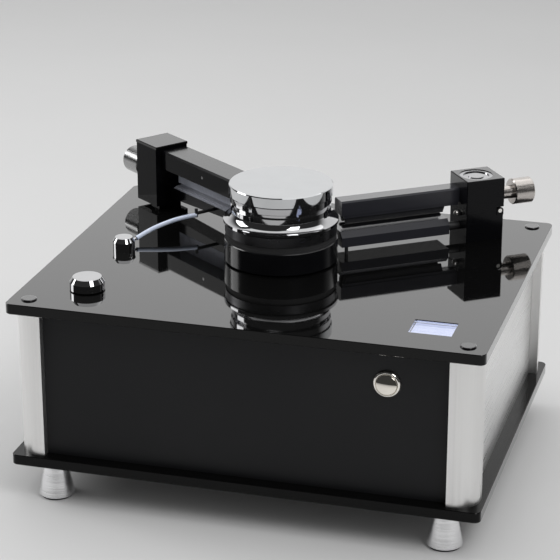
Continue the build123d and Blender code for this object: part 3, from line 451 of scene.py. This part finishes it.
rubber = moulded("blackRubber", (0.018, 0.018, 0.019, 1), 0.72, 1500, 0.00012)
plastic = moulded("blackPlastic", (0.016, 0.016, 0.017, 1), 0.42)
motorPaint = moulded("motorGrey", (0.17, 0.175, 0.18, 1), 0.45, 900)
velvetPile = velvet()
brushUpper = bristle("greyBristle", (0.36, 0.37, 0.42, 1), (0.74, 0.77, 0.86, 1), washTurn)
brushLower = bristle("paleBristle", (0.34, 0.35, 0.39, 1), (0.72, 0.74, 0.82, 1), washTurn)
tube = clearTube()

finishOf = {
    lidAcrylic: ["lid_plate"],
    capAcrylic: ["wash_cap"],
    baseAcrylic: ["base_plate"],
    frontPaint: ["front_panel", "rear_panel", "bearing_housing"],
    washAnodised: ["wash_post", "wash_head", "wash_upper_bar", "wash_lower_bar"],
    suctionAnodised: ["suction_tower", "suction_head"],
    barAnodisedPaintedLight: ["suction_upper_bar", "suction_lower_bar"],
    capChrome: ["suction_cap"],
    hubAnodised: ["platter_hub", "drive_pulley", "lid_screws"],
    profileMetal: ["corner_profiles"],
    sideMetal: ["side_panels"],
    footMetal: ["cone_feet", "motor_pulley"],
    clampChrome: ["clamp_cap", "spindle"],
    bodyChrome: ["clamp_body"],
    modeChrome: ["mode_knob"],
    valveChrome: ["valve_body", "valve_cap"],
    padRing: ["clamp_ring"],
    buttonChrome: ["button_plunger"],
    ringChrome: ["button_bezel"],
    screwSteel: ["case_screws", "spindle_bearings"],
    washSteel: ["wash_thumb_screw"],
    pinMetal: ["hinge_pins"],
    suctionSteel: ["suction_thumb_screw"],
    rubber: ["hub_mat", "clamp_pad", "foot_pads", "drive_belt"],
    plastic: [
        "wash_feed_pipe", "suction_fittings", "knob_encoder", "mains_inlet", "vacuum_turbine", "fluid_pump",
        "inner_pipes",
    ],
    motorPaint: ["motor", "power_supply"],
    velvetPile: ["suction_upper_velvet", "suction_lower_velvet"],
    brushUpper: ["wash_upper_brush"],
    brushLower: ["wash_lower_brush"],
    tube: ["clear_hose"],
    clearWindow(): ["display_window"],
    litDisplay(): ["display_module"],
    tankPlastic(): ["fluid_tanks", "tank_lids"],
    circuitBoard(): ["control_board"],
    brass: ["drain_spout"],
}
for material, names in finishOf.items():
    for name in names:
        mesh = cadNodes[name].data
        mesh.materials.clear()
        mesh.materials.append(material)
print("finishes on", sum(len(names) for names in finishOf.values()), "nodes")


def pieceFrom(form, name, material, body, slot, *stoodFor):  # a bmesh becomes a named piece on its body
    mesh = bpy.data.meshes.new(name)
    form.to_mesh(mesh)
    form.free()
    mesh.materials.append(material)
    piece = bpy.data.objects.new(name, mesh)
    bpy.context.collection.objects.link(piece)
    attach(piece, body)
    if stoodFor:
        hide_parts(*stoodFor)
    return piece


def smoothBy(form, angle):  # faces outwards, and smooth but for edges sharper than angle
    bmesh.ops.recalc_face_normals(form, faces=form.faces)
    for edge in form.edges:
        edge.smooth = len(edge.link_faces) == 2 and edge.calc_face_angle(0) < radians(angle)
    for face in form.faces:
        face.smooth = True


# Clear feed hose from the valve to the pipe on the wash arm; up is from the lid
hoseLook = {
    "points": [
        (-143.2, 5.0, 5.3), (-136.0, 18.0, 9.0), (-126.0, 29.8, 12.2),
        (-115.3, 41.3, 14.5), (-102.9, 51.6, 15.3),
    ],
    "radius": 2.0, "bore": 1.05, "length": 0.0628, "steps": 24, "sides": 6,
}


def hoseCurve(name, radius, material):
    curve = bpy.data.curves.new(name, "CURVE")
    curve.dimensions = "3D"
    line = curve.splines.new("NURBS")
    line.points.add(len(hoseLook["points"]) - 1)
    for point, (x, y, up) in zip(line.points, hoseLook["points"]):
        point.co = (x * mm, y * mm, lidTop + up * mm, 1)
    line.order_u = 3
    line.use_endpoint_u = True
    line.resolution_u = hoseLook["steps"]
    curve.bevel_depth = radius * mm
    curve.bevel_resolution = hoseLook["sides"]
    curve.materials.append(material)
    piece = bpy.data.objects.new(name, curve)
    bpy.context.collection.objects.link(piece)
    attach(piece, "case")
    return piece


hose = hoseCurve("feedHose", hoseLook["radius"], tube)
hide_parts("clear_hose")
hoseBore = hoseCurve("hoseBore", hoseLook["bore"], fluidCore())
hoseStart = [value * mm for value in hoseLook["points"][0]]
hoseStart[2] += lidTop
print("feed hose laid")


# Bristle strips of the wash arm; the lower one falls away down its channel's near slope
tuft = {
    "sides": 6, "jitter": 0.08, "lean": (0.2, 0.15), "ragged": 0.25, "round": 0.05,
    "swell": (0.86, 0.98, 1.1),
}


def bristleStrip(name, look, material, slot, body, node):
    seed = random.Random(look["seed"])
    form = bmesh.new()
    low, high = look["up"]
    columns = int((look["along"][1] - look["along"][0]) / look["pitch"])
    pitch = (look["across"][1] - look["across"][0]) / look["rows"]
    reachAlong, reachAcross = look["pitch"] * 0.55, pitch * 0.55
    pointing = 1 if look["root"] > look["tip"] else -1
    for column in range(columns):
        for row in range(look["rows"]):
            along = look["along"][0] + (column + 0.5) * look["pitch"]
            along += seed.uniform(-tuft["jitter"], tuft["jitter"])
            across = look["across"][0] + (row + 0.5) * pitch
            lean = [seed.uniform(-most, most) for most in tuft["lean"]]
            fall = max(0, across - look["fallFrom"]) * look["fall"]
            tip = look["tip"] + seed.uniform(0.0, tuft["ragged"]) * pointing - fall
            rings = []
            for part, up in enumerate((look["root"], (look["root"] + tip) / 2, tip)):
                shift = part / 2
                ring = []
                for side in range(tuft["sides"]):
                    turn = 2 * pi * side / tuft["sides"]
                    reach = tuft["swell"][part] * (1.0 + seed.uniform(-tuft["round"], tuft["round"]))
                    ring.append(form.verts.new(onArm(
                        "wash",
                        along + lean[0] * shift + reach * reachAlong * cos(turn),
                        min(look["across"][1], across + lean[1] * shift + reach * reachAcross * sin(turn)),
                        min(high, max(low, up)),
                    )))
                rings.append(ring)
            for under, over in zip(rings, rings[1:]):
                joinRings(form, under, over)
            form.faces.new(rings[-1])
    smoothBy(form, 50)
    return pieceFrom(form, name, material, body, slot, node)


def joinRings(form, first, second):  # a band of faces between two rings, either of which may be one point
    sides = max(len(first), len(second))
    for side in range(sides):
        after = (side + 1) % sides
        if len(first) == 1:
            form.faces.new((first[0], second[side], second[after]))
        elif len(second) == 1:
            form.faces.new((first[side], first[after], second[0]))
        else:
            form.faces.new((first[side], first[after], second[after], second[side]))


upperBrush = {
    "along": (58.4, 164.2), "across": (-14.4, -4.35), "up": (24, 40.5), "root": 40.5, "tip": 24.1,
    "pitch": 1.0, "rows": 5, "seed": 4, "fallFrom": 0, "fall": 0,
}
lowerBrush = {
    "along": (58.4, 164.2), "across": (-14.4, 0.95), "up": (17, 21.9), "root": 17, "tip": 21.8,
    "pitch": 1.0, "rows": 8, "seed": 9, "fallFrom": -3.3, "fall": 0.42,
}
bristleStrip("upperBristles", upperBrush, brushUpper, "pale_bristle", "wash_arm", "wash_upper_brush")
bristleStrip("lowerBristles", lowerBrush, brushLower, "grey_bristle", "case", "wash_lower_brush")
print("bristle strips made")


# Velvet lips either side of each suction slot; the profile is half widths and parts of the lip's height
lip = {
    "profile": [
        (-1, 0.0), (-1, 0.55), (-0.92, 0.8), (-0.6, 0.95), (0, 1.0),
        (0.6, 0.95), (0.92, 0.8), (1, 0.55), (1, 0.0),
    ],
    "steps": 90, "fuzz": 0.09, "fuzzWide": 0.3, "endRise": 0.55,
}


def velvetLips(name, look, body, node):
    seed = random.Random(look["seed"])
    form = bmesh.new()
    steps = lip["steps"]
    start, end = look["along"]
    root, tip = look["root"], look["tip"]
    sign = 1 if tip > root else -1
    for inner, outer in look["strips"]:
        half = (outer - inner) / 2
        centre = (outer + inner) / 2
        rows = []
        for step in range(steps + 1):
            along = start + (end - start) * step / steps
            endFade = min(1.0, min(step, steps - step) / 2.0 + lip["endRise"])
            row = []
            for part, rise in lip["profile"]:
                fuzz = seed.uniform(-lip["fuzz"], 0.0) if rise > 0 else 0.0
                across = centre + part * half * (1 + fuzz * lip["fuzzWide"])
                up = root + (tip - root) * rise * endFade + sign * fuzz
                row.append(form.verts.new(onArm("suction", along, across, up)))
            rows.append(row)
        for first, second in zip(rows, rows[1:]):
            for spot in range(len(first) - 1):
                form.faces.new((first[spot], first[spot + 1], second[spot + 1], second[spot]))
        form.faces.new(rows[0])
        form.faces.new(rows[-1])
    smoothBy(form, 60)
    return pieceFrom(form, name, velvetPile, body, "black_velvet", node)


upperLips = {"along": (58, 152), "strips": ((-4, 0.2), (4.2, 9.4)), "root": 33, "tip": 24.0, "seed": 21}
lowerLips = {"along": (58, 152), "strips": ((2.6, 5), (8.6, 11)), "root": 20.1, "tip": 21.9, "seed": 22}
velvetLips("upperVelvetLips", upperLips, "suction_arm", "suction_upper_velvet")
velvetLips("lowerVelvetLips", lowerLips, "case", "suction_lower_velvet")
print("velvet lips made")


def aboutAxis(middle, out):  # gives a function that places a point in mm about the axis out from middle
    out = out.normalized()
    aside = out.orthogonal().normalized()
    over = out.cross(aside)

    def place(radius, turn, height):
        return middle + (aside * cos(turn) * radius + over * sin(turn) * radius + out * height) * mm

    return place


def turnedForm(middle, out, profile, sides):  # a bmesh turned from (radius, height) pairs, from one end
    form = bmesh.new()
    place = aboutAxis(middle, out)
    loops = []
    for radius, height in profile:
        turns = [2 * pi * side / sides for side in range(sides if radius else 1)]
        loops.append([form.verts.new(place(radius, turn, height)) for turn in turns])
    for first, second in zip(loops, loops[1:]):
        joinRings(form, first, second)
    return form


def turnedPiece(name, middle, out, profile, material, body, slot, *stoodFor):
    form = turnedForm(middle, out, profile, 48)
    smoothBy(form, 40)
    return pieceFrom(form, name, material, body, slot, *stoodFor)


def socketScrew(name, middle, out, look, material, body, slot):  # a screw's head with its hex socket
    sides, head, rim = look["sides"], look["head"], look["head"] - look["bevel"]
    form = turnedForm(middle, out, [(head, -look["deep"]), (head, -look["bevel"]), (rim, 0)], sides)
    place = aboutAxis(middle, out)
    turns = [2 * pi * side / sides for side in range(sides)]
    flats = [look["key"] * cos(pi / 6) / cos((turn % (pi / 3)) - pi / 6) for turn in turns]
    outerRim = [form.verts.new(place(rim, turn, 0)) for turn in turns]
    hexRim = [form.verts.new(place(flat, turn, 0)) for flat, turn in zip(flats, turns)]
    hexFloor = [form.verts.new(place(flat, turn, -look["keyDeep"])) for flat, turn in zip(flats, turns)]
    joinRings(form, outerRim, hexRim)
    joinRings(form, hexRim, hexFloor)
    form.faces.new(hexFloor)
    bmesh.ops.remove_doubles(form, verts=form.verts, dist=0.01 * mm)
    smoothBy(form, 30)
    return pieceFrom(form, name, material, body, slot)


barScrew = {
    "along": 101.4, "across": 12.15, "up": 48,
    "head": 1.45, "bevel": 0.25, "deep": 1.6, "key": 0.8, "keyDeep": 0.96, "sides": 36,
}
washSide = Vector((-sin(washTurn), cos(washTurn), 0))
barScrewSpot = onArm("wash", barScrew["along"], barScrew["across"], barScrew["up"])
socketScrew("washBarSetScrew", barScrewSpot, washSide, barScrew, washSteel, "wash_arm", "stainless")

# Bright domed tip on the suction tower's stop pin
stopTip = {"along": 161.4, "across": -6, "up": 23, "profile": [
    (0, 0.9), (0.9, 0.8), (1.7, 0.4), (2.3, -0.3), (2.62, -1.0), (2.62, -2.6), (2.45, -2.9), (0, -2.9),
]}
stopSpot = onArm("suction", stopTip["along"], stopTip["across"], stopTip["up"])
towardHub = Vector((-cos(suctionTurn), -sin(suctionTurn), 0))
turnedPiece("stopPinTip", stopSpot, towardHub, stopTip["profile"], pinMetal, "case", "stainless")

# Push-button's crowned ring with a chamfered bore, and the barrel behind it
ringLook = {"profile": [
    (0, -21), (8.7, -21), (8.7, -0.9), (9.3, -0.08), (9.6, 0), (10.1, -0.16), (10.6, -0.5), (11.1, -1.05),
    (11.45, -1.75), (11.6, -2.6), (11.6, -3), (9.4, -3), (9.4, -31), (0, -31),
]}
buttonSpot = Vector((buttonMiddle.x, cornersOf("button_bezel")[0].y, buttonMiddle.z))
turnedPiece(
    "buttonRing", buttonSpot, Vector((0, -1, 0)), ringLook["profile"], ringChrome, "case", "polished_chrome",
    "button_bezel",
)
print("set screw, stop tip and button ring made")


# Studio: pale floor, pale surround that mirrors see only behind the machine, three soft boxes
floorLook = {
    "dark": grey(0.6), "light": grey(0.63), "cloud": 3, "grain": 40, "rough": 0.7, "radius": 9, "sides": 96,
}


def paleFloor():
    finish = Finish("paleFloor", {"Specular IOR Level": 0.1})
    cloud = finish.noise(floorLook["cloud"])
    finish.feed("Base Color", finish.blend(cloud, floorLook["dark"], floorLook["light"]))
    finish.feed("Roughness", floorLook["rough"] + finish.noise(floorLook["grain"], 2) * 0.1)
    return finish.material


floorForm = bmesh.new()
bmesh.ops.create_circle(floorForm, cap_ends=True, segments=floorLook["sides"], radius=floorLook["radius"])
floorMesh = bpy.data.meshes.new("studioFloor")
floorForm.to_mesh(floorMesh)
floorForm.free()
floorMesh.materials.append(paleFloor())
studioFloor = bpy.data.objects.new("studioFloor", floorMesh)
bpy.context.collection.objects.link(studioFloor)

softBoxes = {
    "leftBox": {"place": (-1.9, 0.1, 1.3), "size": (0.9, 1.1), "power": 17},
    "rightBox": {"place": (1.2, -0.98, 1.8), "size": (0.75, 1.1), "power": 16},
    "topBox": {"place": (0.1, 0.5, 2.1), "size": (3.0, 2.4), "power": 26},
}
aimedAt = Vector((0, 0, 0.12))
for name, box in softBoxes.items():
    lamp = bpy.data.lights.new(name, "AREA")
    lamp.shape = "RECTANGLE"
    lamp.size, lamp.size_y = box["size"]
    lamp.energy = box["power"]
    holder = bpy.data.objects.new(name, lamp)
    holder.location = box["place"]
    holder.rotation_euler = (aimedAt - Vector(box["place"])).to_track_quat("-Z", "Y").to_euler()
    bpy.context.collection.objects.link(holder)

surround = {"fill": 0.45, "back": 1.0, "dark": 0.04, "turnsPale": (0.3, 0.8), "tint": grey(1.0)}
world = bpy.data.worlds.new("studioSurround")
bpy.context.scene.world = world
world.use_nodes = True
air = Nodes(world.node_tree)
rays = ("Is Camera Ray", "Is Glossy Ray", "Is Transmission Ray")
sight, glossy, through = (air.node("ShaderNodeLightPath", {}, {}, ray) for ray in rays)
seen = sight + through
heading = air.node("ShaderNodeTexCoord", {}, {}, "Generated")
backward = air.node("ShaderNodeSeparateXYZ", {}, {0: heading}, "Y")
mirrored = air.node("ShaderNodeMapRange", {"interpolation_type": "SMOOTHSTEP"}, {
    "Value": backward, "From Min": surround["turnsPale"][0], "From Max": surround["turnsPale"][1],
    "To Min": surround["dark"], "To Max": surround["back"],
})
strength = seen * surround["back"] + glossy * mirrored + (1 - seen - glossy) * surround["fill"]
background = world.node_tree.nodes["Background"]
plug(air.tree, surround["tint"], background.inputs["Color"])
plug(air.tree, strength, background.inputs["Strength"])

bpy.context.scene.view_settings.view_transform = "Standard"
print("studio lit")
